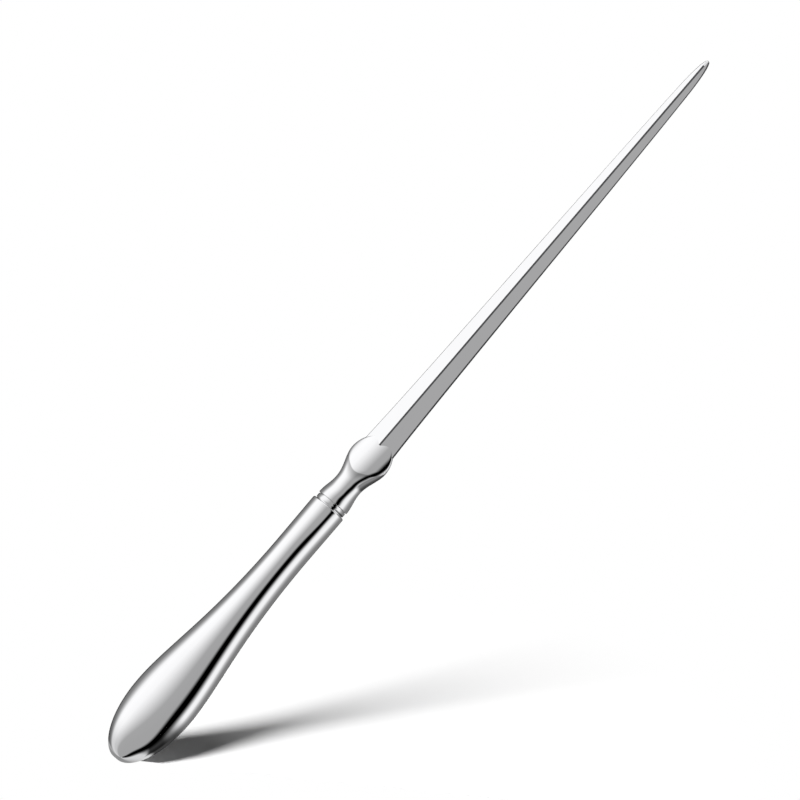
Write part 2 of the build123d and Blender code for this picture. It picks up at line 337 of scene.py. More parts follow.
@dataclass
class HollowHandle:
    """Two stamped half shells of oval section, and the braze seam between their rims."""

    butt_x: float
    mouth_x: float
    width: float
    thickness: float
    axis_z: float
    swell_from_butt: float = 18.5 * MM
    swell_reach: float = 11.9 * MM
    butt_fullness: float = 0.49
    butt_flat: float = 1.2 * MM
    neck_diameter: float = 9.4 * MM
    neck_from_mouth: float = 14.0 * MM
    neck_reach: float = 27.0 * MM
    mouth_width: float = 9.6 * MM
    mouth_thickness: float = 8.7 * MM
    mouth_reach: float = 4.5 * MM
    lip_radius: float = 0.45 * MM
    wall: float = 0.8 * MM
    seam_width: float = 0.16 * MM
    seam_relief: float = 0.03 * MM
    butt_rows: int = 84
    fall_rows: int = 110
    flare_rows: int = 26
    lip_rows: int = 10
    columns: int = 72

    @classmethod
    def from_frame(cls) -> "HollowHandle":
        """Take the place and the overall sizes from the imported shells.

        Returns:
            The handle.
        """
        low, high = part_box("handle_front_shell")
        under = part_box("handle_back_shell")[0]
        return cls(low.x, high.x, high.y - low.y, high.z - under.z, (high.z + under.z) / 2)

    @property
    def swell_x(self) -> float:
        """Place of the widest section."""
        return self.butt_x + self.swell_from_butt

    def sizes(self, inset: float) -> Array:
        """Place, half width and half thickness along three Bezier curves: butt, fall to the neck, flare.

        The reach past the swell keeps the curvature the same on both sides of it.

        Args:
            inset: How far inside the outer surface, measured square to it.

        Returns:
            One row for each station, from the pole at the butt to the start of the mouth's lip.
        """
        half_width = self.width / 2 - inset
        half_thickness = self.thickness / 2 - inset
        neck = self.neck_diameter / 2 - inset
        mouth = (self.mouth_width / 2 - inset, self.mouth_thickness / 2 - inset)
        start_x = self.butt_x + inset
        neck_x = self.mouth_x - self.neck_from_mouth
        crown = self.butt_fullness * half_width
        flat = self.butt_flat / 2
        slimness = half_thickness / half_width
        fall_reach = self.swell_reach * math.sqrt((half_width - neck) / (half_width - crown))
        full = (half_width, half_thickness)
        butt = bezier(
            [
                (start_x, flat, flat * slimness),
                (start_x, crown, crown * slimness),
                (self.swell_x - self.swell_reach, *full),
                (self.swell_x, *full),
            ],
            np.linspace(0, 1, self.butt_rows, endpoint=False),
        )
        fall = bezier(
            [
                (self.swell_x, *full),
                (self.swell_x + fall_reach, *full),
                (neck_x - self.neck_reach, neck, neck),
                (neck_x, neck, neck),
            ],
            np.linspace(0, 1, self.fall_rows, endpoint=False),
        )
        lip_share = 1 - self.lip_radius / (3 * self.mouth_reach)
        flare = bezier(
            [
                (neck_x, neck, neck),
                (neck_x + self.mouth_reach, neck, neck),
                (self.mouth_x - self.mouth_reach, *mouth),
                (self.mouth_x, *mouth),
            ],
            np.linspace(0, lip_share, self.flare_rows),
        )
        pole = np.array([[start_x, 0.0, 0.0]])
        return np.concatenate([pole, butt, fall, flare])

    def lip(self, outer: Array, inner: Array) -> tuple[Array, Array]:
        """Carry both surfaces on to the mouth, the outer one over a quarter-round lip.

        Args:
            outer: Stations of the outer surface, as from sizes.
            inner: Stations of the inner surface.

        Returns:
            Both sets of stations, with the lip's rows added.
        """
        turn = np.linspace(0, math.pi / 2, self.lip_rows + 1)[1:, None]
        start_x = outer[-1, 0]
        length = self.mouth_x - start_x
        x = start_x + length * np.sin(turn)
        drop = self.lip_radius * (1 - np.cos(turn))
        outer_lip = np.concatenate([x, outer[-1:, 1:] - drop], axis=1)
        inner_lip = np.concatenate([x, np.broadcast_to(inner[-1:, 1:], (len(x), 2))], axis=1)
        return np.concatenate([outer, outer_lip]), np.concatenate([inner, inner_lip])

    def half_ovals(self, stations: Array, side: int) -> Array:
        """Half ovals that stand on a shell's rim: half width times cos, half thickness times sin.

        Args:
            stations: Place, half width and half thickness of each section.
            side: 1 for the front shell, -1 for the back one.

        Returns:
            Points, as stations by columns by three.
        """
        turn = np.linspace(0, math.pi, self.columns)
        rim = self.seam_width / 2
        rise = np.maximum(stations[:, 2:] - rim, 0)
        y = stations[:, 1:2] * np.cos(turn)
        z = self.axis_z + side * (rim + rise * np.sin(turn))
        x = np.broadcast_to(stations[:, :1], y.shape)
        return np.stack([x, y, z], axis=-1)

    def build_shell(self, name: str, side: int) -> bpy.types.Object:
        """One half shell: outer half ovals out and inner half ovals back make each section.

        Args:
            name: Name of the piece.
            side: 1 for the front shell, -1 for the back one.

        Returns:
            The shell, closed at the butt, with its wall showing at the rims and the mouth.
        """
        outer, inner = self.lip(self.sizes(0), self.sizes(self.wall))
        out = self.half_ovals(outer, side)
        back = self.half_ovals(inner, side)[:, ::-1]
        return skin(name, np.concatenate([out, back], axis=1), Ends.POLE_AND_WALL)

    def build_seam(self, name: str) -> bpy.types.Object:
        """Braze seam: a small upright rectangle carried along the plan outline from rim to rim.

        Args:
            name: Name of the piece.

        Returns:
            The seam, a strip that runs from the mouth round the butt and back to the mouth.
        """
        depth = self.wall - self.seam_relief
        outer, inner = self.lip(self.sizes(0), self.sizes(depth))
        plan = np.stack([outer[1:, :2], inner[1:, :2]], axis=1)
        plan = np.concatenate([plan[::-1], plan * (1, -1)])
        heights = self.axis_z + self.seam_width / 2 * np.array([1, -1, -1, 1])
        corners = plan[:, [0, 0, 1, 1], :]
        z = np.broadcast_to(heights[None, :, None], (len(corners), 4, 1))
        return skin(name, np.concatenate([corners, z], axis=-1), Ends.WALLS)

    def build(self) -> list[bpy.types.Object]:
        """Build and dress the two shells and the seam.

        Returns:
            The three pieces.
        """
        steel = SHELL_STEEL.material()
        made = []
        for name, node, side in (
            ("handle_front", "handle_front_shell", 1),
            ("handle_back", "handle_back_shell", -1),
        ):
            shell = self.build_shell(name, side)
            shell.data.materials.append(steel)
            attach(shell, BODY)
            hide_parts(node)
            made.append(shell)
        seam = self.build_seam("handle_seam")
        seam.data.materials.append(BRAZE.material())
        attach(seam, BODY)
        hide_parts("braze_seam")
        return [*made, seam]


@dataclass
class CollarRing:
    """Turned ring: a low crowned band between two fine grooves."""

    rear_x: float
    front_x: float
    radius: float
    axis_z: float
    crown_rise: float = 0.08 * MM
    groove_width: float = 0.2 * MM
    groove_depth: float = 0.3 * MM
    bore_radius: float = 3.23 * MM
    crown_rows: int = 24
    turn_rows: int = 192

    @classmethod
    def from_frame(cls) -> "CollarRing":
        """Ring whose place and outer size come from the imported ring."""
        low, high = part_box("collar_ring")
        return cls(low.x, high.x, (high.z - low.z) / 2, (low.z + high.z) / 2)

    def profile(self) -> Array:
        """Closed outline of the ring's section: bore, flat grooves and a crown that is an arc of a circle.

        Returns:
            Points as place along the length and radius.
        """
        groove = self.radius - self.groove_depth
        start_x = self.rear_x + self.groove_width
        end_x = self.front_x - self.groove_width
        half = (end_x - start_x) / 2
        bend = (half**2 + self.crown_rise**2) / (2 * self.crown_rise)
        reach = math.asin(half / bend)
        turn = np.linspace(-reach, reach, self.crown_rows)
        crown = np.stack([(start_x + end_x) / 2 + bend * np.sin(turn),
                          self.radius - bend * (1 - np.cos(turn))], axis=-1)
        rear = [(self.rear_x, self.bore_radius), (self.rear_x, groove), (start_x, groove)]
        front = [(end_x, groove), (self.front_x, groove), (self.front_x, self.bore_radius)]
        return np.concatenate([rear, crown, front])

    def build(self) -> list[bpy.types.Object]:
        """Turn the outline round the long axis and dress it.

        Returns:
            The ring.
        """
        outline = self.profile()
        turn = np.linspace(0, 2 * math.pi, self.turn_rows, endpoint=False)[:, None]
        x = np.broadcast_to(outline[:, 0], (self.turn_rows, len(outline)))
        y = outline[:, 1] * np.cos(turn)
        z = self.axis_z + outline[:, 1] * np.sin(turn)
        ring = skin("collar_fine_ring", np.stack([x, y, z], axis=-1), Ends.ROUND)
        ring.data.materials.append(RING_STEEL.material())
        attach(ring, BODY)
        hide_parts("collar_ring")
        return [ring]


class Tone(Enum):
    """Material slots of the forging."""

    POLISHED = 0
    PAINTED_DARK = 1
    # Steel with the painted dark colour of the ridge land and edges
    HIDDEN = 2


@dataclass
class BladeForging:
    """Blade, bolster, spigot and tang in one skin: a quarter of each section, mirrored twice."""

    mouth_x: float
    tip_x: float
    axis_z: float
    collar_length: float = 1.5 * MM
    spigot_depth: float = 6.0 * MM
    spigot_radius: float = 3.2 * MM
    tang_length: float = 46.0 * MM
    tang_width: float = 4.9 * MM
    tang_thickness: float = 3.0 * MM
    tang_end_width: float = 3.6 * MM
    tang_end_thickness: float = 2.2 * MM
    notch_radius: float = 0.7 * MM
    notch_pitch: float = 9.0 * MM
    notch_pairs: int = 3
    bolster_length: float = 18.6 * MM
    rear_diameter: float = 8.9 * MM
    rear_round: float = 0.18 * MM
    rear_reach: float = 2.4 * MM
    waist_width: float = 7.55 * MM
    waist_thickness: float = 6.4 * MM
    waist_from_rear: float = 6.0 * MM
    shoulder_width: float = 11.5 * MM
    shoulder_thickness: float = 6.1 * MM
    shoulder_from_rear: float = 14.3 * MM
    flare_reach: float = 3.0 * MM
    shoulder_bend: float = 6.8 * MM
    facet_angle: float = math.radians(11.4)
    facet_crown: float = 11.0 * MM
    facet_blend: float = 0.14 * MM
    flank_blend: float = 0.5 * MM
    facet_from_rear: float = 8.6 * MM
    # Painted shade strip behind the facet: its reach and its soft edge
    shade_gap: float = 0.55 * MM
    shade_edge: float = 0.06 * MM
    blade_width: float = 9.05 * MM
    blade_thickness: float = 2.7 * MM
    edge_thickness: float = 0.8 * MM
    edge_round: float = 0.2 * MM
    ridge_land: float = 0.5 * MM
    ridge_from_tip: float = 1.6 * MM
    taper_reach: float = 18.0 * MM
    taper_width: float = 7.1 * MM
    point_length: float = 9.8 * MM
    point_width: float = 3.36 * MM
    point_reach: float = 33.0 * MM
    point_reach_width: float = 5.5 * MM
    nose_reach: float = 4.8 * MM
    nose_width: float = 2.0 * MM
    tip_thickness: float = 1.0 * MM
    tip_round: float = 0.5 * MM
    plunge_fade: float = 12.0 * MM
    plunge_step: float = 0.08 * MM
    edge_columns: int = 2
    round_columns: int = 8
    bevel_columns: int = 46
    land_columns: int = 6
    solve_steps: int = 48
    notch_stations: int = 11
    rear_stations: int = 7
    neck_stations: int = 50
    facet_stations: int = 105
    taper_stations: int = 70
    nose_stations: int = 46
    land_limit: float = 0.9
    edge_round_limit: float = 0.6
    nose_round_limits: tuple[float, float] = (0.05, 0.5)

    @classmethod
    def from_frame(cls) -> "BladeForging":
        """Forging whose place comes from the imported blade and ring."""
        low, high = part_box("blade")
        return cls(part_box("collar_ring")[0].x, high.x, (low.z + high.z) / 2)

    @property
    def bolster_x(self) -> float:
        """Rear face of the bolster."""
        return self.mouth_x + self.collar_length

    @property
    def blade_x(self) -> float:
        """Place where the ridge leaves the facet."""
        return self.bolster_x + self.bolster_length

    @property
    def blade_length(self) -> float:
        """Length from the facet to the tip."""
        return self.tip_x - self.blade_x

    def outline(self) -> tuple[Array, Array]:
        """Half of the blade's plan outline: a long Bezier taper and a Bezier nose that ends square.

        Returns:
            Places along the length, and the half width at each.
        """
        point_x = self.tip_x - self.point_length
        half_point = self.point_width / 2
        fall = (self.point_reach_width - self.point_width) / 2 / self.point_reach
        shares = np.linspace(0, 1, CURVE_SAMPLES)
        taper = bezier(
            [
                (self.blade_x, self.blade_width / 2),
                (self.blade_x + self.taper_reach, self.taper_width / 2),
                (point_x - self.point_reach, self.point_reach_width / 2),
                (point_x, half_point),
            ],
            shares,
        )
        nose = bezier(
            [
                (point_x, half_point),
                (point_x + self.nose_reach, half_point - fall * self.nose_reach),
                (self.tip_x, self.nose_width / 2),
                (self.tip_x, 0.0),
            ],
            shares,
        )
        whole = np.concatenate([taper, nose[1:]])
        return whole[:, 0], whole[:, 1]

    def oval_radius(self, x: Array, turn: Array) -> Array:
        """Distance from the axis to the bolster's oval body, before it is ground.

        Half width and half thickness follow two Bezier flares, round at the rear, waisted and then spread
        to the shoulders. Past these the width falls along an arc, and the rear edge is rounded.

        Args:
            x: Places along the length.
            turn: Angle round the axis, from the edge of the blade towards its ridge.

        Returns:
            The distance along each angle.
        """
        waist_x = self.bolster_x + self.waist_from_rear
        shoulder_x = self.bolster_x + self.shoulder_from_rear
        rear = (self.rear_diameter / 2, self.rear_diameter / 2)
        waist = (self.waist_width / 2, self.waist_thickness / 2)
        shoulder = (self.shoulder_width / 2, self.shoulder_thickness / 2)
        shares = np.linspace(0, 1, CURVE_SAMPLES)
        first = bezier([(self.bolster_x, *rear), (self.bolster_x + self.rear_reach, *rear),
                        (waist_x - self.rear_reach, *waist), (waist_x, *waist)], shares)
        second = bezier([(waist_x, *waist), (waist_x + self.flare_reach, *waist),
                         (shoulder_x - self.flare_reach, *shoulder), (shoulder_x, *shoulder)], shares)
        flares = np.concatenate([first, second[1:]])
        past = np.clip(x - shoulder_x, 0, self.shoulder_bend)
        inside = np.clip(self.rear_round - (x - self.bolster_x), 0, self.rear_round)
        rounding = self.rear_round - np.sqrt(self.rear_round**2 - inside**2)
        width = np.interp(x, flares[:, 0], flares[:, 1]) - rounding
        width = width - self.shoulder_bend + np.sqrt(self.shoulder_bend**2 - past**2)
        thickness = np.interp(x, flares[:, 0], flares[:, 2]) - rounding
        return 1 / np.hypot(np.cos(turn) / width, np.sin(turn) / thickness)

    def facet_radius(self, x: Array, turn: Array) -> Array:
        """Distance from the axis to the ground facet, a cylinder inclined to the axis: root of a quadratic.

        Args:
            x: Places along the length.
            turn: Angle round the axis, from the edge of the blade towards its ridge.

        Returns:
            The distance along each angle.
        """
        top = self.blade_thickness / 2 + np.tan(self.facet_angle) * (self.blade_x - x)
        centre = top - self.facet_crown / np.cos(self.facet_angle)
        lean = np.cos(self.facet_angle) ** 2
        a = np.cos(turn) ** 2 + lean * np.sin(turn) ** 2
        b = -2 * centre * np.sin(turn) * lean
        c = lean * centre**2 - self.facet_crown**2
        return (-b + np.sqrt(b**2 - 4 * a * c)) / (2 * a)

    def bolster_radius(self, x: Array, turn: Array) -> Array:
        """Bolster's radius: the smaller of oval body and facet, with a crease that is softer at the flanks.

        Args:
            x: Places along the length.
            turn: Angle round the axis, from the edge of the blade towards its ridge.

        Returns:
            The distance along each angle.
        """
        blend = self.facet_blend + (self.flank_blend - self.facet_blend) * np.cos(turn) ** 4
        return soft_min(self.oval_radius(x, turn), self.facet_radius(x, turn), blend)

    def facet_shade(self, x: Array, turn: Array) -> Array:
        """Painted shade strip behind the facet: full beside its edge, and less the further outside the
        facet lies.

        Args:
            x: Places along the length.
            turn: Angle round the axis, from the edge of the blade towards its ridge.

        Returns:
            Depth of painted shade from 0 to 1.
        """
        gap = self.facet_radius(x, turn) - self.oval_radius(x, turn)
        return smooth_step(np.minimum(1 - gap / self.shade_gap, gap / self.shade_edge))

    def blade_quarter(self, x: Array) -> tuple[Array, Array]:
        """Quarter of the blade's section: edge flat, rounded corner, plane bevel, land along the ridge.

        The bevel's points are set out by equal angles round the axis. The last stretch is drawn in to the
        tip by a quarter of an ellipse.

        Args:
            x: Places along the length, as rows by the columns of a quarter.

        Returns:
            Distances across the width and above the axis, of the same shape.
        """
        places, halves = self.outline()
        half = np.maximum(np.interp(x, places, halves), MERGE_DISTANCE)
        slope = (self.blade_thickness - self.edge_thickness) / (self.blade_width - self.ridge_land)
        fall = (self.blade_thickness - self.tip_thickness) / 2 / self.blade_length
        ridge = self.blade_thickness / 2 - fall * (x - self.blade_x)
        land = np.minimum(self.ridge_land / 2, self.land_limit * half)
        edge = ridge - slope * (half - land)
        lean = math.atan(slope)
        nose_bend = self.nose_round_limits[0] * half + self.nose_round_limits[1] * (half - land)
        bend = np.minimum(np.minimum(self.edge_round, self.edge_round_limit * edge), nose_bend)
        centre_y = half - bend
        centre_z = edge - bend * (1 - math.sin(lean)) / math.cos(lean)
        start_y = centre_y + bend * math.sin(lean)
        start_z = centre_z + bend * math.cos(lean)
        counts = (self.edge_columns, self.round_columns, self.bevel_columns)
        parts = [np.linspace(0, 1, count, endpoint=False) for count in counts]
        parts.append(np.linspace(0, 1, self.land_columns + 1))
        stops = np.cumsum([0, *(len(part) for part in parts)])
        y = np.empty_like(x)
        z = np.empty_like(x)
        flat, corner, bevel, top = (slice(a, b) for a, b in zip(stops[:-1], stops[1:]))
        y[:, flat] = half[:, flat]
        z[:, flat] = centre_z[:, flat] * parts[0]
        turn = parts[1] * (math.pi / 2 - lean)
        y[:, corner] = centre_y[:, corner] + bend[:, corner] * np.cos(turn)
        z[:, corner] = centre_z[:, corner] + bend[:, corner] * np.sin(turn)
        from_y = start_y[:, bevel]
        from_z = start_z[:, bevel]
        step_y = land[:, bevel] - from_y
        step_z = ridge[:, bevel] - from_z
        first = np.arctan2(from_z, from_y)
        last = np.arctan2(ridge[:, bevel], land[:, bevel])
        angle = first + parts[2] * (last - first)
        reach = from_z * np.cos(angle) - from_y * np.sin(angle)
        rate = step_y * np.sin(angle) - step_z * np.cos(angle)
        share = np.where(np.abs(rate) > MERGE_DISTANCE**2, reach / np.where(rate == 0, 1, rate), parts[2])
        share = np.clip(share, 0, 1)
        y[:, bevel] = from_y + share * step_y
        z[:, bevel] = from_z + share * step_z
        y[:, top] = land[:, top] * (1 - parts[3])
        z[:, top] = ridge[:, top]
        nose = np.clip((x - self.tip_x + self.tip_round) / self.tip_round, 0, 1)
        return y, z * np.sqrt(1 - nose**2)

    def quarter_columns(self) -> int:
        """Points in a quarter of a section, both ends included."""
        return self.edge_columns + self.round_columns + self.bevel_columns + self.land_columns + 1

    def plunge(self) -> tuple[Array, Array]:
        """Line where the bolster runs out onto the blade, found by halving for each column.

        Returns:
            Place along the length and angle round the axis, for each column of a quarter.
        """
        low = np.full((1, self.quarter_columns()), self.bolster_x + self.shoulder_from_rear)
        high = np.full_like(low, self.blade_x + self.blade_thickness)
        for _ in range(self.solve_steps):
            middle = (low + high) / 2
            y, z = self.blade_quarter(middle)
            proud = self.bolster_radius(middle, np.arctan2(z, y)) > np.hypot(y, z)
            low = np.where(proud, middle, low)
            high = np.where(proud, high, middle)
        y, z = self.blade_quarter(high)
        return high, np.arctan2(z, y)

    def tang_rows(self) -> tuple[Array, Array, Array]:
        """Notched tang: a rectangle that narrows towards its end, less a half circle at each notch.

        Returns:
            Places along the length and, for each column of a quarter, distances across and above the axis.
        """
        start_x = self.mouth_x - self.spigot_depth
        end_x = self.mouth_x - self.tang_length
        notches = end_x + self.notch_pitch * np.arange(1, self.notch_pairs + 1)
        bite = self.notch_radius * np.sin(np.linspace(-math.pi / 2, math.pi / 2, self.notch_stations))
        x = np.unique(np.concatenate([[end_x, start_x], (notches[:, None] + bite).ravel()]))[:, None]
        share = (x - end_x) / (start_x - end_x)
        half = (self.tang_end_width + share * (self.tang_width - self.tang_end_width)) / 2
        rise = (self.tang_end_thickness + share * (self.tang_thickness - self.tang_end_thickness)) / 2
        near = np.min(np.abs(x - notches), axis=1, keepdims=True)
        half = half - np.sqrt(np.maximum(self.notch_radius**2 - near**2, 0))
        side_columns = self.edge_columns + self.round_columns
        top_columns = self.quarter_columns() - side_columns
        across = np.concatenate([np.ones(side_columns), np.linspace(1, 0, top_columns)])
        above = np.concatenate([np.linspace(0, 1, side_columns, endpoint=False), np.ones(top_columns)])
        y = half * across
        z = rise * above
        pole = np.zeros_like(y[:1])
        x = np.broadcast_to(x, y.shape)
        return np.concatenate([x[:1], x]), np.concatenate([pole, y]), np.concatenate([pole, z])

    def quarter(self) -> tuple[Array, Array, Array]:
        """All rows of a quarter of the forging, from the end of the tang to the tip.

        Each column keeps the angle at which it meets the plunge, the line where the bolster runs out. The
        facet's rows share out the way to that line evenly. The blade's rows start along it and straighten
        over plunge_fade.

        Returns:
            Points as rows by columns by three, measured from the axis, the tone of each quad, and the
            depth of painted shade at each point.
        """
        plunge_x, plunge_turn = self.plunge()
        tang_x, tang_y, tang_z = self.tang_rows()
        spigot_x = np.array([self.mouth_x - self.spigot_depth, self.bolster_x])[:, None]
        rear_turn = np.linspace(0, math.pi / 2, self.rear_stations)
        round_x = self.bolster_x + self.rear_round * (1 - np.cos(rear_turn))
        facet_x = self.bolster_x + self.facet_from_rear
        neck_x = np.linspace(round_x[-1], facet_x, self.neck_stations)[1:]
        neck_rows = np.concatenate([round_x, neck_x])[:, None] + np.zeros_like(plunge_x)
        shares = np.linspace(0, 1, self.facet_stations)[1:, None]
        facet_rows = facet_x + shares * (plunge_x - facet_x)
        bolster_rows = np.concatenate([neck_rows, facet_rows])
        bolster_r = self.bolster_radius(bolster_rows, np.broadcast_to(plunge_turn, bolster_rows.shape))
        places = self.outline()[0]
        start_x = float(np.mean(plunge_x))
        straight = np.linspace(start_x, self.tip_x - self.point_length, self.taper_stations)[1:]
        step = [start_x + self.plunge_step]
        nose = np.linspace(CURVE_SAMPLES, 2 * CURVE_SAMPLES - 2, self.nose_stations).astype(int)
        blade_rows = np.concatenate([step, straight, places[nose]])[:, None]
        fade = np.clip(1 - (blade_rows - start_x) / self.plunge_fade, 0, 1)
        blade_rows = blade_rows + fade * (plunge_x - start_x)
        blade_y, blade_z = self.blade_quarter(blade_rows)
        tip = np.zeros_like(plunge_x)
        x = [tang_x, spigot_x + tip, bolster_rows, blade_rows, tip + self.tip_x]
        y = [tang_y, self.spigot_radius * np.cos(plunge_turn) + 0 * spigot_x,
             bolster_r * np.cos(plunge_turn), blade_y, tip]
        z = [tang_z, self.spigot_radius * np.sin(plunge_turn) + 0 * spigot_x,
             bolster_r * np.sin(plunge_turn), blade_z, tip]
        hidden = len(tang_x) + len(spigot_x)
        shown = len(bolster_rows)
        tones = np.full((hidden + shown + len(blade_rows), self.quarter_columns() - 1), Tone.POLISHED.value)
        tones[:hidden] = Tone.HIDDEN.value
        ridge_end = int(np.sum(blade_rows[:, -1] < self.tip_x - self.ridge_from_tip))
        blade_tones = tones[hidden + shown - 1 :]
        # Ridge land and edges take the painted dark colour, a painted dark line on a real satin finish
        blade_tones[:ridge_end, -self.land_columns :] = Tone.PAINTED_DARK.value
        blade_tones[:, : self.edge_columns + self.round_columns] = Tone.PAINTED_DARK.value
        points = np.stack([np.concatenate(x), np.concatenate(y), np.concatenate(z)], axis=-1)
        shades = np.zeros(points.shape[:2])
        # Painted shade on the bolster's rows, strongest just behind the facet
        shades[hidden : hidden + shown] = self.facet_shade(bolster_rows, plunge_turn)
        return points, tones, shades

    def build(self) -> list[bpy.types.Object]:
        """Mirror the quarter twice into whole sections, skin them and dress the forging.

        Returns:
            The forging.
        """
        quarter, tones, shades = self.quarter()
        half = np.concatenate([quarter[:, :-1], quarter[:, ::-1] * (1, -1, 1)], axis=1)
        whole = np.concatenate([half[:, :-1], half[:, ::-1][:, :-1] * (1, 1, -1)], axis=1)
        half_tones = np.concatenate([tones, tones[:, ::-1]], axis=1)
        whole_tones = np.concatenate([half_tones, half_tones[:, ::-1]], axis=1)
        half_shades = np.concatenate([shades[:, :-1], shades[:, ::-1]], axis=1)
        whole_shades = np.concatenate([half_shades[:, :-1], half_shades[:, ::-1][:, :-1]], axis=1)
        forging = skin("blade_forging", whole + (0, 0, self.axis_z), Ends.POLES, whole_tones, whole_shades)
        for finish in (BLADE_STEEL, PAINTED_DARK_STEEL, TANG_STEEL):
            forging.data.materials.append(finish.material())
        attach(forging, BODY)
        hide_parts("blade")
        return [forging]


@dataclass
class CementCore:
    """Cement that fills the handle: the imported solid, kept and dressed."""

    node: str = "cement_core"

    def build(self) -> list[bpy.types.Object]:
        """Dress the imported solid.

        Returns:
            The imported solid.
        """
        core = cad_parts[self.node]
        core.data.materials.clear()
        core.data.materials.append(CEMENT.material())
        return [core]


@dataclass(frozen=True)
class LightBand:
    """One stop of the studio wall that the steel mirrors: degrees round the long axis, and its level."""

    angle: float
    level: float


@dataclass(frozen=True)
class Bend:
    """Place along the flag where it bends aside: how far that reaches, and by how many degrees it turns."""

    place: float
    reach: float
    turn: float


@dataclass(frozen=True)
class Card:
    """Soft-edged card round the long axis: where it starts, is full, stays full and ends, and its depth."""

    places: tuple[float, float, float, float]
    angles: tuple[float, float, float, float]
    depth: float

    def cover(self, x: Array, angle: Array) -> Array:
        """How much of the wall the card hides: a smooth step up and down along each of its two directions.

        Args:
            x: Places along the length.
            angle: Degrees round the long axis, from the camera's side towards the photo's right.

        Returns:
            Cover from 0 to 1.
        """
        total = np.full(x.shape, self.depth)
        for value, (start, full, stay, end) in ((x, self.places), (angle, self.angles)):
            up = (value - start) / (full - start)
            down = (end - value) / (end - stay)
            total = total * smooth_step(np.minimum(up, down))
        return total


